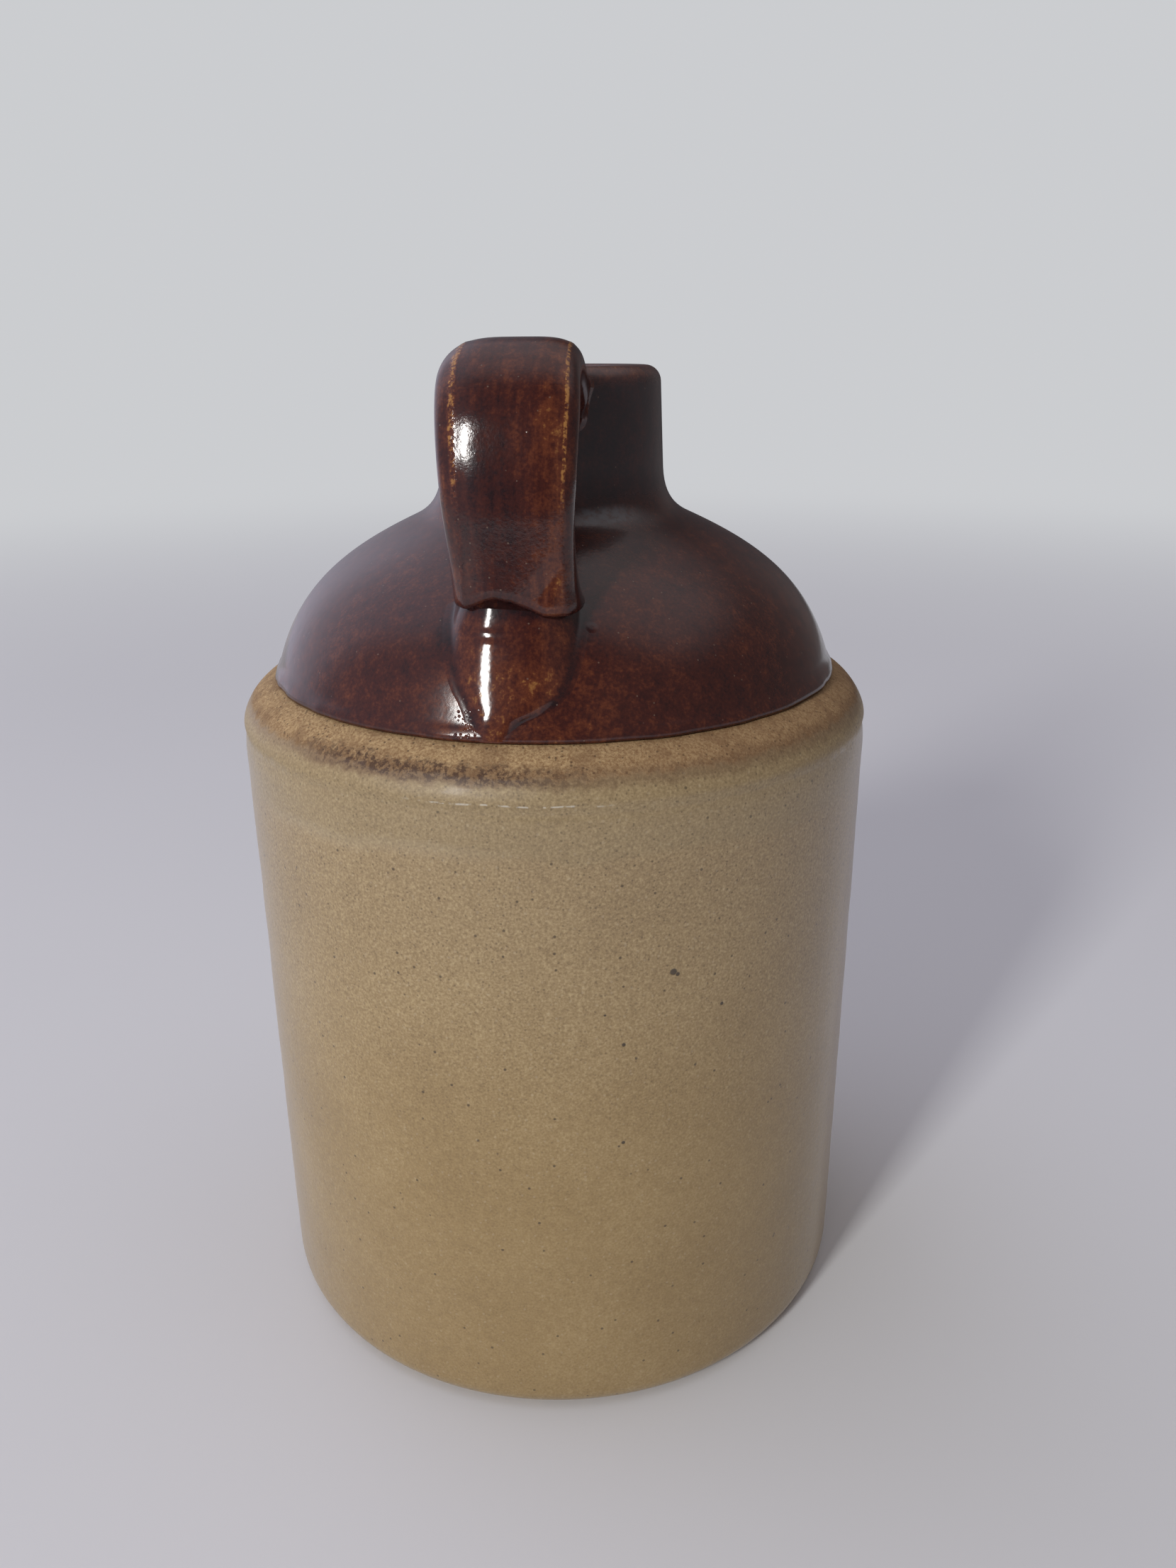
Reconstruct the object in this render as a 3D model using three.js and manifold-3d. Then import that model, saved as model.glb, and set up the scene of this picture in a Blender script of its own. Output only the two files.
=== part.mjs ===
// A small stoneware shoulder jug: a straight-sided pot, a domed shoulder luted on its ledge,
// a short neck, and a strap handle whose wiped-down tail runs to the ledge.
// Millimetres, +Z up. The jug stands on z = 0 with its axis on Z, and the handle is towards -Y.
import * as THREE from "three";
import { mergeVertices } from "three/addons/utils/BufferGeometryUtils.js";
import Module from "manifold-3d";

const wasm = await Module();
wasm.setup();

// Pot: floor, straight wall and the sloping ledge that carries the dome
const BODY_RADIUS = 44;
const BODY_WALL = 5.5;
const FLOOR_THICKNESS = 7;
const FLOOR_ROUND = 5;
const BASE_EDGE_ROUND = 3;
const SHOULDER_HEIGHT = 94.6;
const LEDGE_WIDTH = 5.1;
const LEDGE_FALL = 3.2;
const LEDGE_ROUND = 4;
const SEAT_DEPTH = 2.5;
const SEAT_SLOPE_HEIGHT = 6;

// Dome: one smooth haunch from the ledge to the foot of the neck
const DOME_RISE = 21.4;
const DOME_WALL = 5.2;
const DOME_LEAN_DEG = 13.4;
const DOME_HAUNCH = 11.9;
const DOME_CROWN_DEG = 23.7;
const DOME_CROWN = 12.5;

// Neck: a collar that flares into the dome and ends in a rounded lip
const NECK_TOP_RADIUS = 14.5;
const NECK_TAPER = 0.75;
const NECK_FLARE = 1.95;
const NECK_HEIGHT = 18.5;
const NECK_FILLET = 3.2;
const BORE_RADIUS = 9;
const LIP_ROUND = 2.2;
const LIP_INNER_ROUND = 1.4;

// Handle strap: a pulled strap from under the lip, over a crown and down to the dome
const CROWN_ABOVE_LIP = 3.4;
const CROWN_BEFORE_NECK = 8;
const STRAP_INSIDE_DOME_FOOT = 3.9;
const STRAP_ARCH_DROP = 13.9;
const STRAP_THICKNESS = 5.2;
const STRAP_WIDTH = 15.6;
const STRAP_FOOT_WIDTH = 13.8;
const STRAP_EDGE_ROUND = 2.2;
const ROOT_THICKNESS = 7.4;
const ROOT_BELOW_LIP = 0.6;
const CREASE_ABOVE_SHOULDER = 14.9;
const CREASE_INSIDE_DOME_FOOT = 5.5;

// Handle tail: the strap's end below the crease, wiped down the dome and drawn to one side
const TAIL_SPREAD = 0.8;
const TAIL_FOOT_WIDTH = 4.4;
const TAIL_FOOT_SHIFT = -1.6;
const TAIL_WAIST_ABOVE_SHOULDER = 6.2;
const TAIL_THICKNESS = 2.8;
const TAIL_FOOT_THICKNESS = 1.1;
const TAIL_FOOT_ABOVE_LEDGE = 0.4;

// Room left at a seam that isn't a plain flat face
const SEAM_CLEARANCE = 0.3;

// Points of a path that lie closer together than this are one point
const POINT_SPACING = 0.01;

// Facets
const TURN_SEGMENTS = 48;
const CURVE_STEPS = 10;
const STRAP_STEPS = 6;
const ROUND_STEPS = 4;
const EDGE_STEPS = 3;

// Heights and reaches that follow from the sizes above
const neckSeat = SHOULDER_HEIGHT + DOME_RISE;
const lipHeight = neckSeat + NECK_HEIGHT;
const crownHeight = lipHeight + CROWN_ABOVE_LIP;
const creaseHeight = SHOULDER_HEIGHT + CREASE_ABOVE_SHOULDER;
const tailFootHeight = SHOULDER_HEIGHT + TAIL_FOOT_ABOVE_LEDGE;
const innerRadius = BODY_RADIUS - BODY_WALL;
const domeFootRadius = BODY_RADIUS - LEDGE_WIDTH;
const seatInnerRadius = domeFootRadius - DOME_WALL;
const neckRootRadius = NECK_TOP_RADIUS + NECK_TAPER;
const neckFootRadius = neckRootRadius + NECK_FLARE;
const neckWallMiddle = (BORE_RADIUS + NECK_TOP_RADIUS) / 2;
const socketRadius = NECK_TOP_RADIUS;
const crownReach = NECK_TOP_RADIUS + CROWN_BEFORE_NECK;
const strapReach = domeFootRadius - STRAP_INSIDE_DOME_FOOT;
const creaseReach = domeFootRadius - CREASE_INSIDE_DOME_FOOT;
const beyondJug = 2 * BODY_RADIUS;

const glaze = (color, roughness) => new THREE.MeshStandardMaterial({ color, roughness, metalness: 0 });
const khakiGlaze = glaze(0xa99775, 0.35);
const domeSlip = glaze(0x4a2620, 0.22);
const neckSlip = glaze(0x43302b, 0.3);
const strapSlip = glaze(0x56281c, 0.2);
const tailSlip = glaze(0x6a3518, 0.2);

// Points of an outline given by its corners [across, up, round]: a corner with a round becomes an arc.
function roundedOutline(corners) {
  const points = [];
  corners.forEach(([across, up, round], index) => {
    const corner = new THREE.Vector2(across, up);
    if (!round) {
      points.push(corner);
      return;
    }
    const before = new THREE.Vector2(...corners[index - 1].slice(0, 2)).sub(corner);
    const after = new THREE.Vector2(...corners[index + 1].slice(0, 2)).sub(corner);
    const halfAngle = Math.acos(before.dot(after) / before.length() / after.length()) / 2;
    const tangent = Math.min(round / Math.tan(halfAngle), before.length(), after.length());
    const radius = tangent * Math.tan(halfAngle);
    const middle = before.clone().normalize().add(after.clone().normalize()).normalize();
    const centre = corner.clone().addScaledVector(middle, radius / Math.sin(halfAngle));
    const start = corner.clone().addScaledVector(before.normalize(), tangent).sub(centre);
    const end = corner.clone().addScaledVector(after.normalize(), tangent).sub(centre);
    const turn = Math.atan2(start.cross(end), start.dot(end));
    for (let step = 0; step <= ROUND_STEPS; step++) {
      const spoke = start.clone().rotateAround(new THREE.Vector2(), (turn * step) / ROUND_STEPS);
      points.push(spoke.add(centre));
    }
  });
  return points;
}

// The outline moved sideways to its left, by a distance that may change from point to point.
function movedSideways(points, distanceAt) {
  return points.map((point, index) => {
    const ahead = points[Math.min(index + 1, points.length - 1)];
    const behind = points[Math.max(index - 1, 0)];
    const along = ahead.clone().sub(behind).normalize();
    return point.clone().add(new THREE.Vector2(-along.y, along.x).multiplyScalar(distanceAt(point)));
  });
}

// A closed outline of radius and height, turned about the jug's axis.
function turned(points) {
  return new THREE.LatheGeometry(points, TURN_SEGMENTS).rotateX(Math.PI / 2);
}

// Joining and cutting work on solids with shared corners.
function solidFrom(geometry) {
  const bare = geometry.clone();
  bare.deleteAttribute("normal");
  bare.deleteAttribute("uv");
  const merged = mergeVertices(bare, 1e-4);
  const corners = merged.index.array;
  const triangles = [];
  for (let first = 0; first < corners.length; first += 3) {
    const [a, b, c] = corners.slice(first, first + 3);
    if (a !== b && b !== c && c !== a) triangles.push(a, b, c);
  }
  return new wasm.Manifold(
    new wasm.Mesh({
      numProp: 3,
      vertProperties: merged.attributes.position.array,
      triVerts: new Uint32Array(triangles),
    }),
  );
}

function geometryFrom(solid) {
  const { vertProperties, triVerts } = solid.getMesh();
  const geometry = new THREE.BufferGeometry();
  geometry.setAttribute("position", new THREE.BufferAttribute(vertProperties, 3));
  geometry.setIndex(new THREE.BufferAttribute(triVerts, 1));
  geometry.computeVertexNormals();
  return geometry;
}

// The dome's outer face, from the ledge up to the foot of the neck
function domeFace() {
  const lean = THREE.MathUtils.degToRad(DOME_LEAN_DEG);
  const crown = THREE.MathUtils.degToRad(DOME_CROWN_DEG);
  const foot = new THREE.Vector2(domeFootRadius, SHOULDER_HEIGHT);
  const top = new THREE.Vector2(neckFootRadius, neckSeat);
  const haunch = new THREE.Vector2(-Math.sin(lean), Math.cos(lean)).multiplyScalar(DOME_HAUNCH).add(foot);
  const shoulder = new THREE.Vector2(Math.cos(crown), -Math.sin(crown)).multiplyScalar(DOME_CROWN).add(top);
  return new THREE.CubicBezierCurve(foot, haunch, shoulder, top).getPoints(CURVE_STEPS);
}

// The neck's outer face, from the dome up and over the lip to the bore
function neckFace() {
  const flareRise = NECK_FLARE * Math.tan(THREE.MathUtils.degToRad(DOME_CROWN_DEG));
  return roundedOutline([
    [neckFootRadius, neckSeat],
    [neckRootRadius, neckSeat + flareRise, NECK_FILLET],
    [NECK_TOP_RADIUS, lipHeight, LIP_ROUND],
    [BORE_RADIUS, lipHeight, LIP_INNER_ROUND],
    [BORE_RADIUS, neckSeat],
  ]);
}

function bodyPot() {
  const seatFloor = SHOULDER_HEIGHT - SEAT_DEPTH;
  return turned(
    roundedOutline([
      [0, 0],
      [BODY_RADIUS, 0, BASE_EDGE_ROUND],
      [BODY_RADIUS, SHOULDER_HEIGHT - LEDGE_FALL, LEDGE_ROUND],
      [domeFootRadius, SHOULDER_HEIGHT],
      [seatInnerRadius, SHOULDER_HEIGHT],
      [seatInnerRadius, seatFloor],
      [innerRadius, seatFloor - SEAT_SLOPE_HEIGHT],
      [innerRadius, FLOOR_THICKNESS, FLOOR_ROUND],
      [0, FLOOR_THICKNESS],
    ]),
  );
}

// The dome's inner face, from the seat on the pot up to the socket that takes the neck
function domeInside() {
  return movedSideways(domeFace(), () => DOME_WALL)
    .map((point) => new THREE.Vector2(Math.min(point.x, seatInnerRadius), Math.max(point.y, SHOULDER_HEIGHT)))
    .filter((point) => point.x > socketRadius)
    .slice(1);
}

function shoulderDome() {
  const outer = domeFace();
  const inner = domeInside();
  return turned([
    ...outer,
    new THREE.Vector2(socketRadius, neckSeat),
    new THREE.Vector2(socketRadius, inner.at(-1).y),
    ...inner.reverse(),
    new THREE.Vector2(seatInnerRadius, SHOULDER_HEIGHT),
    outer[0].clone(),
  ]);
}

// The neck stands on the dome by its flared foot. Its plug fills the socket down to the dome's inner face.
function neckCollar() {
  const face = neckFace();
  const plugRadius = socketRadius - SEAM_CLEARANCE;
  const plugFoot = domeInside().at(-1).y;
  return turned([
    ...face.slice(0, -1),
    new THREE.Vector2(BORE_RADIUS, plugFoot),
    new THREE.Vector2(plugRadius, plugFoot),
    new THREE.Vector2(plugRadius, neckSeat),
    face[0].clone(),
  ]);
}

// The solid that the handle is cut back from: dome and neck, filled to the lip and grown by the clearance
function handleSeat() {
  const face = [...domeFace(), ...neckFace().slice(1).filter((point) => point.x > neckWallMiddle)];
  const grown = movedSideways(face, () => -SEAM_CLEARANCE);
  return solidFrom(
    turned([
      new THREE.Vector2(0, 0),
      new THREE.Vector2(grown[0].x, 0),
      ...grown,
      new THREE.Vector2(0, grown.at(-1).y),
    ]),
  );
}

// A flat-bottomed slab wider than the jug, from one height to another
function slab(low, high) {
  const geometry = new THREE.BoxGeometry(beyondJug, beyondJug, high - low);
  return solidFrom(geometry.translate(0, 0, (low + high) / 2));
}

// One face of the strap seen from the side, as reach from the axis against height. It lies inset from the
// outer face, and runs from the axis out of the neck, over the crown and down past the crease.
function strapFace(inset, rootHeight) {
  const archFoot = crownHeight - STRAP_ARCH_DROP;
  const crown = crownHeight - inset;
  const reach = strapReach - inset;
  const crease = creaseReach - inset;
  const path = new THREE.Path();
  path.moveTo(0, rootHeight);
  path.lineTo(NECK_TOP_RADIUS, rootHeight);
  path.quadraticCurveTo((NECK_TOP_RADIUS + crownReach) / 2, crown, crownReach, crown);
  path.absellipse(crownReach, archFoot, reach - crownReach, crown - archFoot, Math.PI / 2, 0, true);
  path.quadraticCurveTo(reach, (archFoot + creaseHeight) / 2, crease, creaseHeight);
  path.lineTo(crease, creaseHeight - STRAP_THICKNESS);
  const points = path.getPoints(STRAP_STEPS);
  return points.filter((point, index) => index === 0 || point.distanceTo(points[index - 1]) > POINT_SPACING);
}

function handleStrap() {
  const rootTop = lipHeight - ROOT_BELOW_LIP;
  const outer = strapFace(0, rootTop);
  const inner = strapFace(STRAP_THICKNESS, rootTop - ROOT_THICKNESS).reverse();
  const side = new THREE.Shape([...outer, ...inner]);
  const edgeRound = Math.min(STRAP_EDGE_ROUND, STRAP_THICKNESS / 2 - SEAM_CLEARANCE);
  const strap = new THREE.ExtrudeGeometry(side, {
    depth: STRAP_WIDTH - 2 * edgeRound,
    bevelThickness: edgeRound,
    bevelSize: edgeRound,
    bevelOffset: -edgeRound,
    bevelSegments: EDGE_STEPS,
  });
  strap.translate(0, 0, edgeRound - STRAP_WIDTH / 2);
  // Reach runs to -Y, height to +Z and the width to X.
  const toJug = new THREE.Matrix4().makeBasis(
    new THREE.Vector3(0, -1, 0), new THREE.Vector3(0, 0, 1), new THREE.Vector3(-1, 0, 0),
  );
  strap.applyMatrix4(toJug);
  const position = strap.attributes.position;
  for (let index = 0; index < position.count; index++) {
    const down = (crownHeight - position.getZ(index)) / (crownHeight - creaseHeight);
    const width = THREE.MathUtils.lerp(STRAP_WIDTH, STRAP_FOOT_WIDTH, THREE.MathUtils.clamp(down, 0, 1));
    position.setX(index, (position.getX(index) * width) / STRAP_WIDTH);
  }
  return geometryFrom(solidFrom(strap).subtract(handleSeat()).subtract(slab(0, creaseHeight)));
}

// The dome's face raised by the tail's thickness, which fades from the crease to the foot
function tailSkin() {
  const thicknessAt = (point) => {
    const up = THREE.MathUtils.clamp((point.y - tailFootHeight) / (creaseHeight - tailFootHeight), 0, 1);
    return -THREE.MathUtils.lerp(TAIL_FOOT_THICKNESS, TAIL_THICKNESS, up) - SEAM_CLEARANCE;
  };
  const raised = movedSideways(domeFace(), thicknessAt);
  return solidFrom(
    turned([
      new THREE.Vector2(0, 0),
      new THREE.Vector2(raised[0].x, 0),
      ...raised,
      new THREE.Vector2(0, raised.at(-1).y),
    ]),
  );
}

function handleTail() {
  const waist = SHOULDER_HEIGHT + TAIL_WAIST_ABOVE_SHOULDER;
  const halfWidth = (STRAP_FOOT_WIDTH + TAIL_SPREAD) / 2;
  const footLeft = TAIL_FOOT_SHIFT - TAIL_FOOT_WIDTH / 2;
  const footRight = TAIL_FOOT_SHIFT + TAIL_FOOT_WIDTH / 2;
  const front = new THREE.Shape();
  front.moveTo(-halfWidth, creaseHeight);
  front.bezierCurveTo(-halfWidth, waist, footLeft, waist, footLeft, tailFootHeight);
  front.lineTo(footRight, tailFootHeight);
  front.bezierCurveTo(footRight, waist, halfWidth, waist, halfWidth, creaseHeight);
  const outline = new THREE.ExtrudeGeometry(front, {
    depth: beyondJug, bevelEnabled: false, curveSegments: CURVE_STEPS,
  });
  outline.rotateX(Math.PI / 2);
  const pad = solidFrom(outline).intersect(tailSkin()).intersect(slab(tailFootHeight, creaseHeight));
  return geometryFrom(pad.subtract(handleSeat()));
}

function piece(name, geometry, material) {
  const mesh = new THREE.Mesh(geometry, material);
  mesh.name = name;
  return mesh;
}

const jug = new THREE.Group();
jug.name = "stoneware_jug";
jug.add(
  piece("body_pot", bodyPot(), khakiGlaze),
  piece("shoulder_dome", shoulderDome(), domeSlip),
  piece("neck_collar", neckCollar(), neckSlip),
  piece("handle_strap", handleStrap(), strapSlip),
  piece("handle_tail", handleTail(), tailSlip),
);

export default jug;
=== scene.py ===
# %% [markdown]
# # A stoneware shoulder jug
# The jug was thrown as a straight pot, closed with a dome and a short neck, and given one pulled strap.
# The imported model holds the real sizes, so it is loaded first and every later piece is measured from it.
# Meshes are drawn in millimetres in that same frame, with the handle towards -Y.
# Scaling them to metres is the last step of each piece.

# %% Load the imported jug
import bisect
import math

import bmesh
import bpy
from mathutils import Matrix, Vector, noise
from mathutils.geometry import interpolate_bezier


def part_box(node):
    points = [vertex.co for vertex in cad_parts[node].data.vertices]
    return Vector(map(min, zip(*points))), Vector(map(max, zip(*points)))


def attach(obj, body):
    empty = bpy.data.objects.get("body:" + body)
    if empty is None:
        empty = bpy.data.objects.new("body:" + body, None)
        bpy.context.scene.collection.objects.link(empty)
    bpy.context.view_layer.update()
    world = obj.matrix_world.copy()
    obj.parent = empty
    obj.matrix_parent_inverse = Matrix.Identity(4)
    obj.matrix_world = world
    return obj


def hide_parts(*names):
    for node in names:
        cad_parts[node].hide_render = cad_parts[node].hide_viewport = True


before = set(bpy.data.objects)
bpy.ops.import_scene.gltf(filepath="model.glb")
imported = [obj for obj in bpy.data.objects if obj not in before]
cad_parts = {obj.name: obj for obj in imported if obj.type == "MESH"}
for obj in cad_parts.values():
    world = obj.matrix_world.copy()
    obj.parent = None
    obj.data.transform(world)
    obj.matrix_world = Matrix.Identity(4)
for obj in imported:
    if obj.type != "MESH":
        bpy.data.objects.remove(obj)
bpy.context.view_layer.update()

MM = 0.001
print("nodes:", ", ".join(sorted(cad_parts)))

# %% Read the main sizes
def corners(node):
    """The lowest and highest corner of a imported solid, in millimetres."""
    return [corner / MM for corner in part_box(node)]


_, pot_high = corners("body_pot")
_, dome_high = corners("shoulder_dome")
_, neck_high = corners("neck_collar")
strap_low, strap_high = corners("handle_strap")
tail_low, tail_high = corners("handle_tail")

BODY_RADIUS, SHOULDER = pot_high.x, pot_high.z
DOME_FOOT, NECK_SEAT = dome_high.x, dome_high.z
NECK_FOOT, LIP = neck_high.x, neck_high.z
STRAP_REACH, CROWN = -strap_low.y, strap_high.z
print(f"body {2 * BODY_RADIUS:.1f} mm across, shoulder at {SHOULDER:.1f}, lip at {LIP:.1f}")
print(f"strap from {strap_low.z:.1f} to {CROWN:.1f}, reach {STRAP_REACH:.1f}")
print(f"tail from {tail_low.z:.1f} to {tail_high.z:.1f}")

# %% [markdown]
# ## Camera
# The picture was taken from close by and from above, a little to the right of the handle.
# The lens is found from the focal length in pixels, and one matrix turns, tilts and rolls the camera.

# %% Set the camera
PHOTO_WIDTH, PHOTO_HEIGHT = 1659, 2212
FOCAL_PIXELS = 1662
SENSOR = 36.0
EYE = Vector((23.0, -163.9, 136.9))
HEADING, DOWN, ROLL = math.radians(6.41), math.radians(20.42), -0.0070
NEAREST = 5.0

camera = bpy.data.objects.new("camera", bpy.data.cameras.new("camera"))
camera.data.sensor_fit = "AUTO"
camera.data.sensor_width = SENSOR
camera.data.lens = SENSOR * FOCAL_PIXELS / max(PHOTO_WIDTH, PHOTO_HEIGHT)
camera.data.clip_start = NEAREST * MM
heading = Matrix.Rotation(HEADING, 4, "Z")
tilt = Matrix.Rotation(math.pi / 2 - DOWN, 4, "X")
aim = heading @ tilt @ Matrix.Rotation(ROLL, 4, "Z")
camera.matrix_world = Matrix.Translation(EYE * MM) @ aim
bpy.context.collection.objects.link(camera)
bpy.context.scene.camera = camera
bpy.context.scene.view_settings.view_transform = "Standard"
print(f"lens {camera.data.lens:.2f} mm, {EYE.length:.0f} mm from the middle of the base")

# %% [markdown]
# ## Helpers for turned clay
# Pot, dome and neck are all bodies of revolution, as everything that comes off a wheel is.
# An outline of a few points is joined with edges, a vertex bevel rounds its corners, and a spin turns it.
# A Screw modifier would do too, but a spin leaves real vertices that can be pushed about afterwards.

# %% Outline, round and turn
TOUCHING = 0.001


def outline(mesh, points):
    """Joins (radius, height) points with edges and gives the corners back."""
    made = [mesh.verts.new((radius, 0.0, height)) for radius, height in points]
    for start, end in zip(made, made[1:]):
        mesh.edges.new((start, end))
    return made


def round_corner(mesh, corner, size, segments=6):
    """Rounds one corner of an outline."""
    bmesh.ops.bevel(
        mesh, geom=[corner], offset=size, offset_type="OFFSET", affect="VERTICES",
        segments=segments, profile=0.5, material=-1,
    )


def refine(mesh, longest):
    """Cuts the edges of an outline until none is longer than this."""
    for edge in [e for e in mesh.edges if e.calc_length() > longest]:
        bmesh.ops.subdivide_edges(mesh, edges=[edge], cuts=int(edge.calc_length() / longest))


def turn(mesh, steps):
    """Spins the outline once round the jug's axis and closes its seam and poles."""
    bmesh.ops.spin(
        mesh, geom=mesh.verts[:] + mesh.edges[:], cent=(0, 0, 0), axis=(0, 0, 1), dvec=(0, 0, 0),
        angle=math.tau, steps=steps, use_merge=True, use_duplicate=False,
    )
    bmesh.ops.remove_doubles(mesh, verts=mesh.verts[:], dist=TOUCHING)
    bmesh.ops.recalc_face_normals(mesh, faces=mesh.faces[:])


print("made outline, round_corner, refine and turn")

# %% Set a finished mesh in the frame
def to_object(mesh, name):
    """Makes a finished bmesh a smooth object of the scene."""
    data = bpy.data.meshes.new(name)
    mesh.to_mesh(data)
    mesh.free()
    data.shade_smooth()
    made = bpy.data.objects.new(name, data)
    bpy.context.collection.objects.link(made)
    return made


def set_piece(mesh, name, slot, *nodes):
    """Scales a mesh to metres and lets it stand for its solids."""
    bmesh.ops.scale(mesh, vec=(MM, MM, MM), verts=mesh.verts[:])
    piece = to_object(mesh, name)
    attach(piece, "root")
    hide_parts(*nodes)
    loose = sum(1 for edge in piece.data.edges if edge.is_loose)
    triangles = sum(len(face.vertices) - 2 for face in piece.data.polygons)
    print(f"{name}: {triangles} triangles, {loose} loose edges")
    return piece


print("made to_object and set_piece")

# %% [markdown]
# ## The pot
# The body is a plain cylinder with a soft edge at the foot and a sloping ledge round the dome.
# Under the ledge the potter's tool left a shallow groove. The underside is a little hollow, so the pot
# stands on a rim. Modelled from the outline, one spin gives wall, floor and ledge at once.
# A tenth of a millimetre of noise then takes away the machine-made look of a pure spin.

# %% Outline of the pot
POT_WALL, POT_FLOOR = 5.5, 7.0
FOOT_RIM, FOOT_SLOPE, FOOT_HOLLOW = 7.0, 2.0, 0.6
GROOVE_BELOW_SHOULDER, GROOVE_RUN, GROOVE_DEPTH = 6.6, 1.6, 0.32
LEDGE_OUTER_DROP, LEDGE_MIDDLE_DROP, LEDGE_INNER_DROP = 5.1, 2.2, 0.1
LEDGE_MIDDLE_OUT, LEDGE_INNER_OUT = 3.5, 0.2
SEAT_DEPTH, SEAT_SLOPE_DEPTH = 2.5, 8.5

foot_reach = BODY_RADIUS - FOOT_RIM
groove = SHOULDER - GROOVE_BELOW_SHOULDER
seat_reach = DOME_FOOT - POT_WALL
inner_radius = BODY_RADIUS - POT_WALL
# Each corner is its radius, its height and the size of its rounding.
pot_outline = [
    (0.0, FOOT_HOLLOW, 0.0),
    (foot_reach - FOOT_SLOPE, FOOT_HOLLOW, 0.0),
    (foot_reach, 0.0, 1.0),
    (BODY_RADIUS, 0.0, 3.0),
    (BODY_RADIUS, groove - GROOVE_RUN, 1.4),
    (BODY_RADIUS - GROOVE_DEPTH, groove, 0.9),
    (BODY_RADIUS, SHOULDER - LEDGE_OUTER_DROP, 1.3),
    (DOME_FOOT + LEDGE_MIDDLE_OUT, SHOULDER - LEDGE_MIDDLE_DROP, 1.6),
    (DOME_FOOT + LEDGE_INNER_OUT, SHOULDER - LEDGE_INNER_DROP, 0.0),
    (seat_reach, SHOULDER - LEDGE_INNER_DROP, 0.0),
    (seat_reach, SHOULDER - SEAT_DEPTH, 0.0),
    (inner_radius, SHOULDER - SEAT_SLOPE_DEPTH, 0.0),
    (inner_radius, POT_FLOOR, 5.0),
    (0.0, POT_FLOOR, 0.0),
]
print(f"pot outline of {len(pot_outline)} corners, groove at {groove:.1f} mm")

# %% Turn the pot
POT_EDGE, POT_STEPS = 2.5, 208

pot_mesh = bmesh.new()
pot_corners = outline(pot_mesh, [corner[:2] for corner in pot_outline])
for corner, (_, _, rounding) in zip(pot_corners, pot_outline):
    if rounding:
        round_corner(pot_mesh, corner, rounding)
refine(pot_mesh, POT_EDGE)
turn(pot_mesh, POT_STEPS)
print(f"pot turned with {len(pot_mesh.verts)} vertices")

# %% Throw it by hand
POT_WOBBLE, INWARD = 0.12, 0.6
RINGS_SHARE, LEDGE_SHARE = 0.6, 0.8
LEDGE_RIPPLE, RIPPLE_LAYER = 7.0, 3.0


def smooth(low, high, value):
    """0 below low, 1 above high, and an even curve between them."""
    share = min(max((value - low) / (high - low), 0.0), 1.0)
    return share * share * (3 - 2 * share)


def wander(spot, across, up):
    """Even noise whose waves are this wide and this tall, in millimetres."""
    return noise.noise(Vector((spot.x / across, spot.y / across, spot.z / up)))


for vert in pot_mesh.verts:
    out = Vector((vert.co.x, vert.co.y, 0.0))
    if out.length < 1:
        continue
    slow, rings = wander(vert.co, 30, 40), wander(vert.co, 60, 5)
    ripple = noise.noise(Vector((out.x / LEDGE_RIPPLE, out.y / LEDGE_RIPPLE, RIPPLE_LAYER)))
    ledge = smooth(SHOULDER - 6, SHOULDER - 3, vert.co.z) * ripple
    push = slow + RINGS_SHARE * rings + LEDGE_SHARE * ledge - INWARD
    vert.co += out.normalized() * POT_WOBBLE * push
pot = set_piece(pot_mesh, "pot", "khaki_glaze", "body_pot")

# %% [markdown]
# ## Dome and neck
# The dome was closed in over the pot and drawn up into the neck, so both are one skin of slip with no seam.
# The outline follows two Bezier curves: one up the shoulder, and a short one round into the neck.
# At the foot the slip stopped in a thick wavy bead, where it was wiped off the ledge before firing.

# %% Curves of the dome and neck
DOME_WALL = 5.2
SHOULDER_CURVE = [(DOME_FOOT, SHOULDER), (36.14, 106.18), (28.65, 110.98), (NECK_FOOT, NECK_SEAT)]
NECK_CURVE = [(NECK_FOOT + 1.6, NECK_SEAT - 0.7), (16.6, 116.4), (15.3, 118.0), (15.1, 121.4)]
INNER_CURVE = [(DOME_FOOT - DOME_WALL, SHOULDER), (31.5, 103.9), (24.5, 106.4), (13.0, 110.6)]
NECK_JOIN = 0.2


def bezier(knots, steps):
    """Points along one Bezier curve of (radius, height) knots."""
    line = interpolate_bezier(*[Vector((radius, height, 0.0)) for radius, height in knots], steps)
    return [(point.x, point.y) for point in line]


shoulder_line = bezier(SHOULDER_CURVE, 48)
neck_line = bezier(NECK_CURVE, 12)
inner_line = bezier(INNER_CURVE, 20)
below_neck = [point for point in shoulder_line if point[0] > neck_line[0][0] + NECK_JOIN]
print(f"{len(below_neck)} points up the shoulder, {len(neck_line)} round into the neck")

# %% Turn the dome and neck
NECK_TOP = 14.5
BORE, BORE_FOOT = 9.0, 112.4
LIP_ROUND, BORE_ROUND = 2.0, 1.4
BEAD, BEAD_TUCK = 0.28, 0.5
BEAD_SECTION = [(0.6, 0.05), (1.0, 0.4), (0.5, 0.9)]
BEAD_COVERS = 3
DOME_EDGE, DOME_STEPS = 1.0, 224

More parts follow.
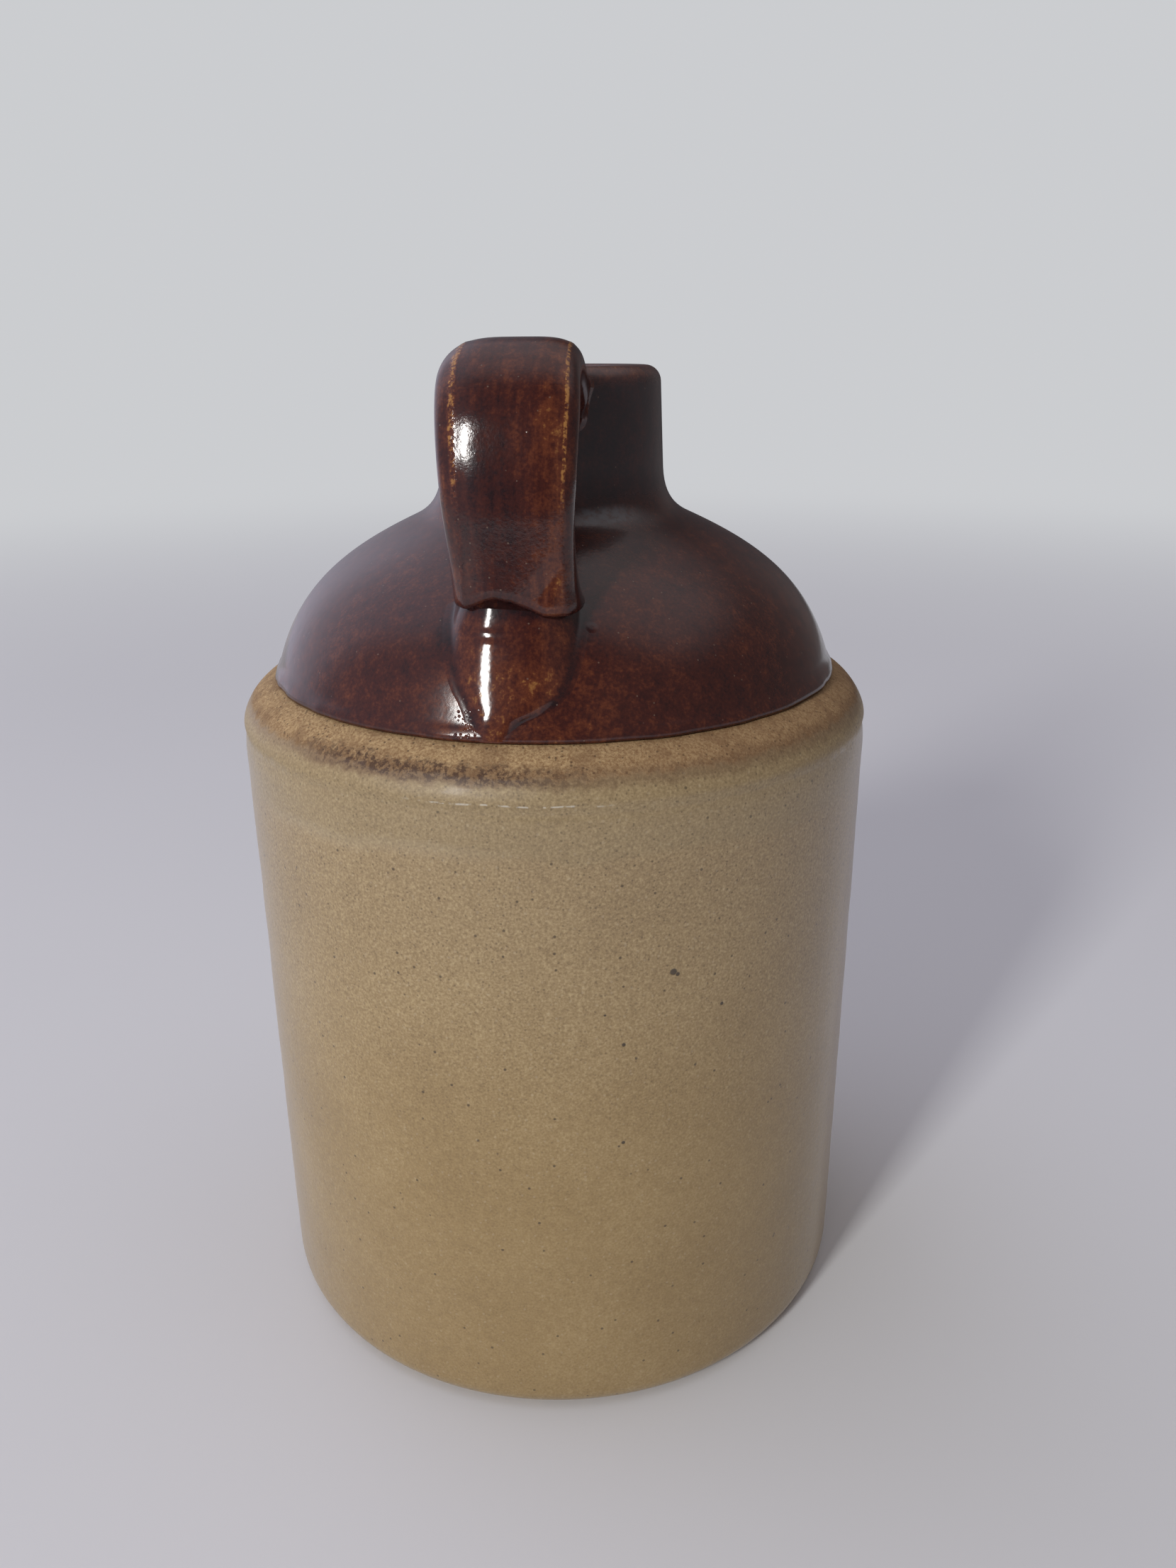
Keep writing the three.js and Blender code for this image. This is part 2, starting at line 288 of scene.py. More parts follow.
dome_points = [
    *inner_line[::-1],
    (DOME_FOOT - BEAD_TUCK, SHOULDER),
    *[(DOME_FOOT + BEAD * share, SHOULDER + height) for share, height in BEAD_SECTION],
    *below_neck[BEAD_COVERS:],
    *neck_line,
    (NECK_TOP, LIP),
    (BORE, LIP),
    (BORE, BORE_FOOT),
    inner_line[-1],
]
dome_mesh = bmesh.new()
dome_corners = outline(dome_mesh, dome_points)
lip_outer = dome_points.index((NECK_TOP, LIP))
round_corner(dome_mesh, dome_corners[lip_outer], LIP_ROUND, 8)
round_corner(dome_mesh, dome_corners[lip_outer + 1], BORE_ROUND, 6)
refine(dome_mesh, DOME_EDGE)
turn(dome_mesh, DOME_STEPS)
print(f"dome and neck turned with {len(dome_mesh.verts)} vertices")

# %% Let the slip edge wander
BEAD_WANDER, SKIN_WANDER = 0.22, 0.12
BEAD_FULL, BEAD_END = 0.6, 1.8

for vert in dome_mesh.verts:
    out = Vector((vert.co.x, vert.co.y, 0.0))
    wave = noise.noise(out / 5) + 0.5 * noise.noise(out / 2)
    foot = 1 - smooth(SHOULDER + BEAD_FULL, SHOULDER + BEAD_END, vert.co.z)
    slow = wander(vert.co, 22, 30)
    vert.co += out.normalized() * (BEAD_WANDER * foot * wave + SKIN_WANDER * slow)
shoulder_and_neck = set_piece(dome_mesh, "shoulder_and_neck", "brown_slip", "shoulder_dome", "neck_collar")

# %% [markdown]
# ## The strap
# A pulled strap is gently crowned with rounded sides, and drawing fingers leave a thin ridge near each edge.
# It could be swept along a curve, but here it is made as the potter made it: first a straight bar with the
# right section, then one bend up and over. That keeps both faces under control where its thickness changes.
# Each vertex remembers where it sat across and along the bar, so the glaze can follow the clay later.

# %% Draw the section of a bar
SECTION_POINTS = 88
FLATNESS, SIDE_LEFT, SIDE_RIGHT = 4.0, 1.75, 2.3
RIDGES = [(-0.745, 0.05), (0.83, 0.045)]
RIDGE_HEIGHT = 0.025


def hump(value, middle, width):
    """1 at the middle, with an even fade to either side."""
    return math.exp(-(((value - middle) / width) ** 2))


strap_mesh = bmesh.new()
ring = bmesh.ops.create_circle(strap_mesh, cap_ends=False, segments=SECTION_POINTS, radius=1.0)["verts"]
for vert in ring:
    roundness = SIDE_LEFT if vert.co.x < 0 else SIDE_RIGHT
    across = math.copysign(abs(vert.co.x) ** (2 / FLATNESS), vert.co.x)
    depth = math.copysign(abs(vert.co.y) ** (2 / roundness), vert.co.y)
    if depth > 0:
        depth += RIDGE_HEIGHT * sum(hump(across, ridge, width) for ridge, width in RIDGES)
    vert.co = (across, depth, 0.0)
print(f"section of {len(ring)} points with {len(RIDGES)} ridges")

# %% Pull a straight bar
ROWS = 150

across_layer = strap_mesh.verts.layers.float.new("across")
along_layer = strap_mesh.verts.layers.float.new("along")
outer_layer = strap_mesh.verts.layers.float.new("outer")
bmesh.ops.spin(
    strap_mesh, geom=strap_mesh.verts[:] + strap_mesh.edges[:], cent=(0, 0, 0), axis=(0, 0, 1),
    dvec=(0, 0, 1 / ROWS), angle=0.0, steps=ROWS, use_merge=False, use_duplicate=False,
)
bmesh.ops.holes_fill(strap_mesh, edges=[edge for edge in strap_mesh.edges if edge.is_boundary])
for vert in strap_mesh.verts:
    vert[across_layer], vert[along_layer], vert[outer_layer] = vert.co.x, vert.co.z, vert.co.y
print(f"bar of {ROWS} rows, {len(strap_mesh.faces)} faces")

# %% Two curves to bend it along
CREASE = 109.4
FACE_REACH = STRAP_REACH - 0.1
OUTER_FACE = [
    [(10.5, 132.4), (14.6, 134.2), (18.0, CROWN), (23.0, CROWN)],
    [(23.0, CROWN), (29.6, CROWN), (FACE_REACH, 131.0), (FACE_REACH, 118.5)],
    [(FACE_REACH, 118.5), (FACE_REACH, 115.5), (35.0, 112.5), (35.25, CREASE)],
]
INNER_FACE = [
    [(10.5, 123.8), (15.4, 128.2), (18.8, 132.7), (22.8, 132.7)],
    [(22.8, 132.7), (26.6, 132.7), (29.75, 129.0), (29.75, 122.0)],
    [(29.75, 122.0), (29.75, 117.0), (29.2, 112.9), (25.0, CREASE + 1.8)],
]


def long_curve(spans, steps=60):
    """One polyline through several Bezier spans, with its running length."""
    points = [Vector(point) for span in spans for point in bezier(span, steps)]
    lengths = [0.0]
    for before, after in zip(points, points[1:]):
        lengths.append(lengths[-1] + (after - before).length)
    return points, lengths


outer_curve, inner_curve = long_curve(OUTER_FACE), long_curve(INNER_FACE)
print(f"outer face {outer_curve[1][-1]:.1f} mm long, inner face {inner_curve[1][-1]:.1f} mm")

# %% Read a curve, and a line through stations
def at(curve, share):
    """The point at a share of the curve's length."""
    points, lengths = curve
    target = share * lengths[-1]
    place = min(max(bisect.bisect_left(lengths, target), 1), len(points) - 1)
    step = lengths[place] - lengths[place - 1]
    return points[place - 1].lerp(points[place], (target - lengths[place - 1]) / step if step else 0.0)


def flow(stations, value):
    """A smooth line through (place, size) stations."""
    last = len(stations) - 1
    after = min(max(bisect.bisect_right([place for place, _ in stations], value), 1), last)
    (start, first), (end, second) = stations[after - 1], stations[after]
    earlier, later = stations[max(after - 2, 0)], stations[min(after + 1, last)]
    step = end - start
    slope_in = step * (second - earlier[1]) / (end - earlier[0])
    slope_out = step * (later[1] - first) / (later[0] - start)
    t = min(max((value - start) / step, 0.0), 1.0)
    bend = slope_in * t * (1 - t) ** 2 - slope_out * t * t * (1 - t)
    return first + (second - first) * t * t * (3 - 2 * t) + bend


middle = at(outer_curve, 0.5)
print(f"halfway along, the outer face is {middle.x:.1f} mm out and {middle.y:.1f} mm up")

# %% Bend the bar
LEFT_SIDE = [
    (0.0, -7.7), (0.06, -7.5), (0.13, -7.5), (0.28, -8.4), (0.42, -8.95), (0.52, -8.85),
    (0.68, -8.35), (0.76, -8.1), (0.85, -7.75), (0.935, -7.5), (1.0, -7.5),
]
RIGHT_SIDE = [
    (0.0, 7.5), (0.06, 7.2), (0.13, 6.95), (0.28, 6.85), (0.42, 7.15), (0.52, 7.4),
    (0.68, 7.25), (0.76, 7.03), (0.85, 6.9), (0.935, 7.15), (1.0, 7.7),
]
CREASE_LINE = [
    (-7.6, 108.6), (-5.6, 108.8), (-4.4, 109.2), (-3.2, 109.8), (-1.5, 110.15),
    (0.7, 109.5), (2.4, 108.75), (3.7, 108.3), (7.4, 108.1),
]
LAP_ROUND, LAP_ALONG, DROP_ALONG = 0.6, (0.97, 1.0), (0.84, 1.0)
ROOT_NOTCH, NOTCH_ALONG, NOTCH_DEPTH = 0.38, (0.03, 0.16), (-0.3, 0.7)

for vert in strap_mesh.verts:
    across, depth, along = vert.co
    face, back = at(outer_curve, along), at(inner_curve, along)
    spot = (face + back) / 2 + (face - back) / 2 * depth
    under_root = (1 - smooth(*NOTCH_ALONG, along)) * (1 - smooth(*NOTCH_DEPTH, depth))
    side = flow(RIGHT_SIDE if across > 0 else LEFT_SIDE, along)
    x = abs(across) * side * (1 - ROOT_NOTCH * under_root)
    lap = smooth(*LAP_ALONG, along)
    tuck = LAP_ROUND * (1 - math.sqrt(1 - lap * lap)) * max(depth, 0.0)
    drop = smooth(*DROP_ALONG, along) * (flow(CREASE_LINE, x) - CREASE)
    vert.co = (x, -spot.x + tuck, spot.y + drop)
heights = [vert.co.z for vert in strap_mesh.verts]
print(f"bent strap from {min(heights):.1f} to {max(heights):.1f}")

# %% Smear the root onto the neck
NECK_TAPER = 0.75
ROOT_FLARE, ROOT_MIDDLE, FLARE_SIDEWAYS = 1.9, 130.0, 0.4
ROOT_BELOW_LIP, ROOT_SINK = 1.4, 0.18
FLARE_END, SOFT_END = 0.25, 0.22


def neck_radius(height):
    """The neck's outer radius at a height."""
    return NECK_TOP + NECK_TAPER * (LIP - height) / (LIP - NECK_SEAT)


def soften(mesh, verts, times):
    """Evens out these vertices a few times over."""
    for _ in range(times):
        bmesh.ops.smooth_vert(
            mesh, verts=verts, factor=0.5, use_axis_x=True, use_axis_y=True, use_axis_z=True,
        )


for vert in strap_mesh.verts:
    gap = math.hypot(vert.co.x, vert.co.y) - neck_radius(vert.co.z)
    if vert[along_layer] > FLARE_END or gap > ROOT_FLARE:
        continue
    share = min(max(1 - gap / ROOT_FLARE, 0.0), 1.0)
    flare = ROOT_FLARE * (1 - math.sqrt(1 - share * share))
    away = Vector((FLARE_SIDEWAYS * vert.co.x, 0.0, vert.co.z - ROOT_MIDDLE)).normalized()
    vert.co += away * flare
    vert.co.z = min(vert.co.z, LIP - ROOT_BELOW_LIP + max(gap, 0.0))
    reach = neck_radius(vert.co.z) + gap - ROOT_SINK * share
    vert.co.x, vert.co.y = Vector((vert.co.x, vert.co.y)).normalized() * reach
root = [vert for vert in strap_mesh.verts if vert[along_layer] < SOFT_END]
soften(strap_mesh, root, 2)
print(f"root of {len(root)} vertices smeared out by {ROOT_FLARE} mm")

# %% Press the lower end and let the sides wander
PRESS_SIDE, PRESS_HEIGHT, PRESS_SLANT = 4.2, 112.5, 0.5
PRESS_WIDTH, PRESS_DEPTH, PRESS_ALONG = 1.0, 0.3, (0.6, 0.8)
PRESS_TOP, PRESS_FULL = 116.0, 111.0
SIDE_WANDER, WANDER_LENGTH, WANDER_LAYER = 0.1, 9.0, 2.0

for vert in strap_mesh.verts:
    slanted = vert.co.x + (PRESS_HEIGHT - vert.co.z) * PRESS_SLANT
    hollow = hump(slanted, PRESS_SIDE, PRESS_WIDTH) * smooth(PRESS_TOP, PRESS_FULL, vert.co.z)
    vert.co.y += PRESS_DEPTH * hollow * smooth(*PRESS_ALONG, vert[along_layer])
    spot = Vector((WANDER_LAYER, vert.co.y / WANDER_LENGTH, vert.co.z / WANDER_LENGTH))
    vert.co.x += SIDE_WANDER * noise.noise(spot)
bmesh.ops.recalc_face_normals(strap_mesh, faces=strap_mesh.faces[:])
strap = set_piece(strap_mesh, "strap", "brown_slip", "handle_strap")

# %% [markdown]
# ## The tail
# Below the strap the clay was pressed onto the dome and wiped down into a tongue that ends a little left.
# A lump joined to the dome would leave a hard line where they meet. So a fine grid is laid on the dome's
# own curve, and it swells where the tail is and runs out into the dome at its edges.
# It gets a thickness inwards, into the wall, and is closed that way.

# %% Edges and face of the tail
LEFT_EDGE = [
    (94.6, -4.1), (97.0, -4.3), (98.5, -4.9), (100.1, -5.9),
    (102.6, -6.9), (105.0, -7.4), (107.5, -7.6), (112.0, -6.6),
]
RIGHT_EDGE = [
    (94.6, 0.0), (96.9, 1.2), (98.1, 3.6), (99.6, 5.6), (101.1, 6.4),
    (102.6, 6.8), (105.0, 7.1), (107.5, 7.1), (112.0, 6.3),
]
TAIL_FACE = [
    (94.6, 39.35), (97.0, 38.8), (98.6, 38.25), (100.0, 37.75),
    (102.0, 37.0), (105.0, 35.85), (108.6, 34.5), (111.6, 33.4),
]
dome_reach = [(height, radius) for radius, height in shoulder_line]
for height in (100.0, 105.0):
    raised = flow(TAIL_FACE, height) - flow(dome_reach, height)
    print(f"at {height:.0f} mm the tail stands {raised:.1f} mm off the dome")

# %% Lay a patch on the dome
TAIL_COLUMNS, TAIL_ROWS = 120, 110
PATCH_HALF, PATCH_FOOT, PATCH_TOP = 11.5, SHOULDER + 0.15, 111.0
FLANK_DROP, FLANK = 1.5, (4.0, 7.0)
FULLNESS, VALLEY = 3.6, 0.22
VALLEY_MIDDLE, VALLEY_WIDTH = -0.1, 0.75
DENT_HEIGHT, DENT_WIDTH, DENT_DEPTH = 106.2, 0.7, 0.15
LAP_HEIGHT, LAP_SIDE = (108.2, 109.5), (-0.6, 0.2)
SUNK, SUNK_SIDE = 0.25, (-2.6, -0.8)
INSIDE_SIDE = (-0.4, 1.2)

tail_mesh = bmesh.new()
inside_layer = tail_mesh.verts.layers.float.new("inside")
valley_layer = tail_mesh.verts.layers.float.new("valley")
bmesh.ops.create_grid(tail_mesh, x_segments=TAIL_COLUMNS, y_segments=TAIL_ROWS, size=1.0)
for vert in tail_mesh.verts:
    across = vert.co.x * PATCH_HALF
    top = PATCH_TOP - FLANK_DROP * smooth(*FLANK, abs(across))
    height = PATCH_FOOT + (top - PATCH_FOOT) * (vert.co.y + 1) / 2
    dome = flow(dome_reach, height)
    left, right = flow(LEFT_EDGE, height), flow(RIGHT_EDGE, height)
    off = abs(2 * across - left - right) / (right - left)
    swell = 1 - off ** FULLNESS
    full = (swell + math.sqrt(swell * swell + VALLEY * VALLEY)) / 2
    away = min(across - left, right - across)
    tucked = smooth(*LAP_HEIGHT, height) * (1 - smooth(*LAP_SIDE, away))
    sunk = SUNK * max(1 - smooth(*SUNK_SIDE, away), tucked)
    dent = DENT_DEPTH * hump(height, DENT_HEIGHT, DENT_WIDTH) * full
    raised = (flow(TAIL_FACE, height) - dome) * min(full, 1.0) * (1 - tucked)
    reach = dome + raised - sunk - dent
    vert[inside_layer] = smooth(*INSIDE_SIDE, away)
    vert[valley_layer] = hump(away, VALLEY_MIDDLE, VALLEY_WIDTH)
    vert.co = (reach * math.sin(across / dome), -reach * math.cos(across / dome), height)
print(f"patch of {len(tail_mesh.faces)} faces, {min(v.co.z for v in tail_mesh.verts):.1f} mm and up")

# %% Close the patch into the wall
TAIL_WALL = 1.0

inner = [vert for vert in tail_mesh.verts if not vert.is_boundary]
soften(tail_mesh, inner, 3)
bmesh.ops.recalc_face_normals(tail_mesh, faces=tail_mesh.faces[:])
bmesh.ops.solidify(tail_mesh, geom=tail_mesh.faces[:], thickness=TAIL_WALL)
bmesh.ops.recalc_face_normals(tail_mesh, faces=tail_mesh.faces[:])
tail = set_piece(tail_mesh, "tail", "brown_slip", "handle_tail")

# %% [markdown]
# ## Shader arithmetic
# A finish is built from sums and products of masks, which read best as plain Python.
# This class wraps one socket: its operators add Math nodes, and `node` adds any other node beside them.

# %% One class for sockets
class Wire:
    """One socket of a node tree, for use in plain expressions."""

    def __init__(self, tree, socket=None):
        self.tree, self.socket = tree, socket

    def node(self, kind, sockets, output=0, **settings):
        """Adds a node, with its settings first and then its sockets, and gives one of its outputs."""
        made = self.tree.nodes.new(kind)
        for name, value in settings.items():
            if name == "stops":
                while len(made.color_ramp.elements) < len(value):
                    made.color_ramp.elements.new(0.5)
                for element, (place, colour) in zip(made.color_ramp.elements, value):
                    element.position, element.color = place, (*colour, 1.0)
            else:
                setattr(made, name, value)
        for name, value in sockets.items():
            entry = next(s for s in made.inputs if name in (s.identifier, s.name))
            if isinstance(value, Wire):
                self.tree.links.new(value.socket, entry)
            elif entry.type == "RGBA":
                entry.default_value = (*value, 1.0)
            else:
                entry.default_value = value
        exit_socket = made.outputs[output] if made.outputs else None
        return Wire(self.tree, exit_socket)

    def math(self, operation, first, second=0.0):
        return self.node("ShaderNodeMath", {"Value": first, "Value_001": second}, operation=operation)

    def __add__(self, other):
        return self.math("ADD", self, other)

    def __sub__(self, other):
        return self.math("SUBTRACT", self, other)

    def __rsub__(self, other):
        return self.math("SUBTRACT", other, self)

    def __mul__(self, other):
        return self.math("MULTIPLY", self, other)

    __radd__, __rmul__ = __add__, __mul__


print("wires can be added, subtracted and multiplied")

# %% Masks
def rise(value, low, high):
    """A mask that goes from 0 at low to 1 at high."""
    sockets = {"Value": value, "From Min": low, "From Max": high}
    return value.node("ShaderNodeMapRange", sockets, interpolation_type="SMOOTHSTEP")


def between(value, start, full, fade, end):
    """A mask that goes up from start to full, and down again from fade to end."""
    return rise(value, start, full) * (1 - rise(value, fade, end))


def band(value, middle, width, soft):
    """A mask that is 1 within a width of the middle and fades over a soft edge."""
    away = value.math("ABSOLUTE", value - middle)
    return 1 - rise(away, width, width + soft)


print("made rise, between and band")

# %% Textures and places
def cloud(place, grain, detail=2.0, roughness=0.5):
    """Soft noise, 0 to 1, with blots of about this many millimetres."""
    sockets = {"Vector": place, "Scale": 1 / grain, "Detail": detail, "Roughness": roughness}
    return place.node("ShaderNodeTexNoise", sockets, "Fac")


def specks(place, spacing, size, share):
    """Round dots on a random part of a grid of cells."""
    cell = {"Vector": place, "Scale": 1 / spacing}
    near = place.node("ShaderNodeTexVoronoi", cell, "Distance")
    tint = place.node("ShaderNodeTexVoronoi", cell, "Color")
    pick = place.node("ShaderNodeSeparateColor", {"Color": tint}, "Red")
    return (1 - rise(near, size * 0.5, size)) * rise(pick, 1 - share - 0.02, 1 - share)


def split(place):
    """The three coordinates of a place."""
    return [place.node("ShaderNodeSeparateXYZ", {"Vector": place}, axis) for axis in "XYZ"]


def stretch(place, factors):
    """A place squeezed by a factor along each axis, which draws a texture out there."""
    return place.node("ShaderNodeVectorMath", {"Vector": place, "Vector_001": factors}, operation="MULTIPLY")


def away_from(place, spot):
    """The distance from a spot, in millimetres."""
    sockets = {"Vector": place, "Vector_001": spot}
    return place.node("ShaderNodeVectorMath", sockets, "Value", operation="DISTANCE")


def remembered(place, name):
    """A value that each vertex of the mesh has kept."""
    return place.node("ShaderNodeAttribute", {}, "Fac", attribute_name=name)


print("made cloud, specks, split, stretch, away_from and remembered")

# %% Start, mix and close a finish
def start_finish(name):
    """A new material, with its place on the jug in millimetres."""
    material = bpy.data.materials.new(name)
    material.use_nodes = True
    material.node_tree.nodes.clear()
    ground = Wire(material.node_tree)
    spot = ground.node("ShaderNodeTexCoord", {}, "Object")
    place = ground.node("ShaderNodeVectorMath", {"Vector": spot, "Scale": 1 / MM}, operation="SCALE")
    return material, place


def blend(share, first, second):
    """The first colour, with a share of the second mixed in."""
    sockets = {"Factor_Float": share, "A_Color": first, "B_Color": second}
    return share.node("ShaderNodeMix", sockets, 2, data_type="RGBA")


def bump(height, strength, distance):
    """The normal of a relief, whose full height is a distance in millimetres."""
    sockets = {"Height": height, "Strength": strength, "Distance": distance * MM}
    return height.node("ShaderNodeBump", sockets, "Normal")


def close_finish(material, sockets):
    """Sets the sockets of one shader and gives it to the material."""
    ground = Wire(material.node_tree)
    shader = ground.node("ShaderNodeBsdfPrincipled", sockets, "BSDF")
    ground.node("ShaderNodeOutputMaterial", {"Surface": shader})
    print(f"{material.name}: {len(material.node_tree.nodes)} nodes")


print("made start_finish, blend, bump and close_finish")

# %% [markdown]
# ## Khaki glaze
# The body has a thin khaki glaze over a speckled stoneware clay. The ledge and the foot were wiped clean.
# Fine dark and light specks sit in the glaze, stronger towards the top, with a few larger iron pits.
# A painted picture would fit one view only, so every mask is a plain expression on the height, the radius
# and the bearing from the handle, and holds all round the pot.

# %% Khaki glaze
GLAZE_STOPS = [
    (0.1, (0.19, 0.119, 0.042)), (0.5, (0.345, 0.236, 0.097)), (0.9, (0.53, 0.398, 0.200)),
]
UPPER_DARK, UPPER_PALE = (0.27, 0.20, 0.118), (0.46, 0.35, 0.218)

khaki, place = start_finish("khaki_glaze")
x, y, z = split(place)
radius = place.math("SQRT", x * x + y * y)
bearing = place.math("ARCTAN2", x, 0 - y)
fine, medium, broad = cloud(place, 0.32, 2.0, 0.6), cloud(place, 1.3, 3.0), cloud(place, 16.0)
upper = rise(z, 30, 88)
shade = 0.5 + (fine - 0.5) * (0.65 + 1.2 * upper) + (medium - 0.5) * 0.25 + (broad - 0.5) * 0.3
glaze = place.node("ShaderNodeValToRGB", {"Fac": shade}, stops=GLAZE_STOPS)
glaze = blend(upper * 0.45, glaze, blend(fine, UPPER_DARK, UPPER_PALE))
print(f"glaze of {len(GLAZE_STOPS)} tones, greyer from 30 mm up")

# %% Specks in the glaze
IRON_DUST, IRON_SPECK, PALE_GRAIN = (0.11, 0.07, 0.036), (0.05, 0.03, 0.016), (0.60, 0.50, 0.35)
FOOT_SHADE = (0.22, 0.145, 0.062)

glaze = blend(specks(place, 0.6, 0.3, 0.35) * (0.2 + 0.4 * upper), glaze, IRON_DUST)
glaze = blend(specks(place, 1.9, 0.13, 0.5) * 0.75, glaze, IRON_SPECK)
glaze = blend(specks(place, 0.8, 0.28, 0.30) * 0.22, glaze, PALE_GRAIN)
# Painted shade: the glaze darkens towards the foot, standing in for a shadow on the lower wall.
glaze = blend((1 - rise(z, 2, 48)) * 0.16, glaze, FOOT_SHADE)
print("specks 0.6, 0.8 and 1.9 mm apart, shaded glaze under 48 mm")

# %% Line of the second dip
DIP_LOW, DIP_MIDDLE, DIP_HIGH = 81.6, 82.3, 82.8
DIPPED, DIP_EDGE = (0.27, 0.225, 0.125), (0.52, 0.44, 0.31)

dip_height = z + (cloud(place, 11.0, 1.0) - 0.5) * 3.0
dipped = rise(dip_height, DIP_LOW, DIP_HIGH)
pale_edge = band(dip_height, DIP_MIDDLE, 0.3, 1.3) * between(bearing, -1.0, -0.6, -0.2, 0.1)
glaze = blend(dipped * 0.18, glaze, DIPPED)
glaze = blend(pale_edge * 0.14, glaze, DIP_EDGE)
print(f"second dip of glaze down to {DIP_LOW} mm")

# %% Iron pits in the body
PIT_IRON = (0.03, 0.02, 0.014)
# Each pit is its bearing in degrees, its height and its size.
PITS = [
    (25.9, 66.7, 0.55), (26.6, 66.3, 0.35), (17.8, 57.7, 0.3),
    (17.8, 43.5, 0.3), (14.8, 62.0, 0.22), (34.8, 60.7, 0.3),
]


def pit_mask(place, bearing_degrees, height, size):
    """A round mask at a bearing and height on the pot's wall."""
    angle = math.radians(bearing_degrees)
    spot = (BODY_RADIUS * math.sin(angle), -BODY_RADIUS * math.cos(angle), height)
    return 1 - rise(away_from(place, spot), size * 0.6, size)


pits = pit_mask(place, *PITS[0])
for pit in PITS[1:]:
    pits = place.math("MAXIMUM", pits, pit_mask(place, *pit))
glaze = blend(pits * 0.85, glaze, PIT_IRON)
print(f"{len(PITS)} pits in the wall")

# %% Bare clay on the ledge and the foot
LEDGE_BARE, FOOT_BARE, DOME_EDGE_AT = (91.2, 92.2), (0.5, 1.1), (36.0, 37.0)
CLAY_DARK, CLAY_PALE, CLAY_BLOT = (0.27, 0.155, 0.066), (0.55, 0.385, 0.195), (0.20, 0.108, 0.048)
CLAY_SPECK, CLAY_RIGHT = (0.06, 0.034, 0.017), (0.22, 0.115, 0.050)

ledge_edge = z + (cloud(place, 2.2, 3.0, 0.6) - 0.5) * 1.8
outside_dome = rise(radius, *DOME_EDGE_AT)
bare = rise(ledge_edge, *LEDGE_BARE) * outside_dome
foot_bare = 1 - rise(z + (cloud(place, 2.0) - 0.5) * 0.8, *FOOT_BARE)
clay_grain = cloud(place, 0.34, 3.0, 0.7)
clay = blend(rise(clay_grain, 0.30, 0.70), CLAY_DARK, CLAY_PALE)
clay = blend(rise(cloud(place, 2.6, 3.0, 0.6), 0.46, 0.66) * 0.5, clay, CLAY_BLOT)
clay = blend(specks(place, 0.62, 0.31, 0.4) * 0.7, clay, CLAY_SPECK)
clay = blend(rise(bearing, 0.0, 0.6) * 0.35, clay, CLAY_RIGHT)
surface = blend(foot_bare, blend(bare, glaze, clay), clay)
print(f"ledge bare above {LEDGE_BARE[0]} mm, foot bare under {FOOT_BARE[1]} mm")

# %% Iron stain along the ledge's rim
HAZE_HEIGHT, STAIN_HEIGHT = 91.7, 91.8
HAZE, STAIN = (0.150, 0.074, 0.034), (0.052, 0.023, 0.014)

front_left = rise(bearing, -0.8, -0.45) * (1 - rise(bearing, -0.05, 0.3) * 0.75)
haze = band(ledge_edge, HAZE_HEIGHT, 0.4, 1.0) * outside_dome * (0.3 + 0.3 * front_left)
stain_spots = rise(cloud(place, 0.7, 4.0, 0.72), 0.44, 0.58)
stain_line = band(ledge_edge + bearing * 0.5, STAIN_HEIGHT, 0.5, 0.8)
stain = stain_line * outside_dome * stain_spots * front_left
surface = blend(haze, surface, HAZE)
surface = blend(stain * 0.8, surface, STAIN)
print(f"stain at {STAIN_HEIGHT} mm, strongest at the left of the handle")

# %% Painted glint: a thin bright line under the rim
GLINT_HEIGHT, GLINT_TONE = 88.9, (0.70, 0.66, 0.57)

# A painted highlight: the window's glint on the rounded rim, drawn as a pale broken line at the front.
glint_reach = between(bearing, -0.3, -0.2, 0.18, 0.34) * rise(cloud(place, 0.8), 0.42, 0.6)
painted_glint = band(z + (cloud(place, 4.0) - 0.5) * 0.6, GLINT_HEIGHT, 0.04, 0.12) * glint_reach
surface = blend(painted_glint * 0.6, surface, GLINT_TONE)
print(f"thin line at {GLINT_HEIGHT} mm")

# %% Gloss and grain of the pot
WORN_FROM, WORN_TO = 87.4, 89.0

matt = rise(bare + foot_bare, 0.0, 1.0)
worn_rim = rise(z + (medium - 0.5) * 2.0, WORN_FROM, WORN_TO)
dull = place.math("MAXIMUM", matt, worn_rim * 0.85)
grit = (fine - 0.5) * 0.5 + (medium - 0.5) - pits * 2.0
pot_relief = grit + clay_grain * matt * 2.5
close_finish(khaki, {
    "Base Color": surface,
    "Roughness": 0.30 + (medium - 0.5) * 0.10 + worn_rim * 0.2 + matt * 0.35,
    "Normal": bump(pot_relief, 0.4, 0.12),
    "Coat Weight": 0.36 * (1 - dull),
    "Coat Roughness": 0.12,
})
pot.data.materials.append(khaki)

# %% [markdown]
# ## Brown slip
# Dome, neck and handle share one glossy iron slip. Where it is thin, on edges and ridges, it burns amber.
# Where it ran together it is nearly black. Mixing a colour for each place would soon contradict itself,
# so one number, the slip's thickness, drives the whole colour. Under the strap's lap that number also
# carries painted shade, and a blue tint over the neck is painted sheen.

# %% Colour of the slip by its thickness
SLIP_STOPS = [
    (0.0, (0.36, 0.17, 0.05)), (0.22, (0.125, 0.0345, 0.0155)), (0.45, (0.056, 0.0140, 0.0100)),
    (0.7, (0.024, 0.0075, 0.0080)), (1.0, (0.006, 0.0055, 0.0065)),
]
BLOOM_AND_SHEEN, DUST = (0.10, 0.108, 0.12), (0.25, 0.18, 0.13)


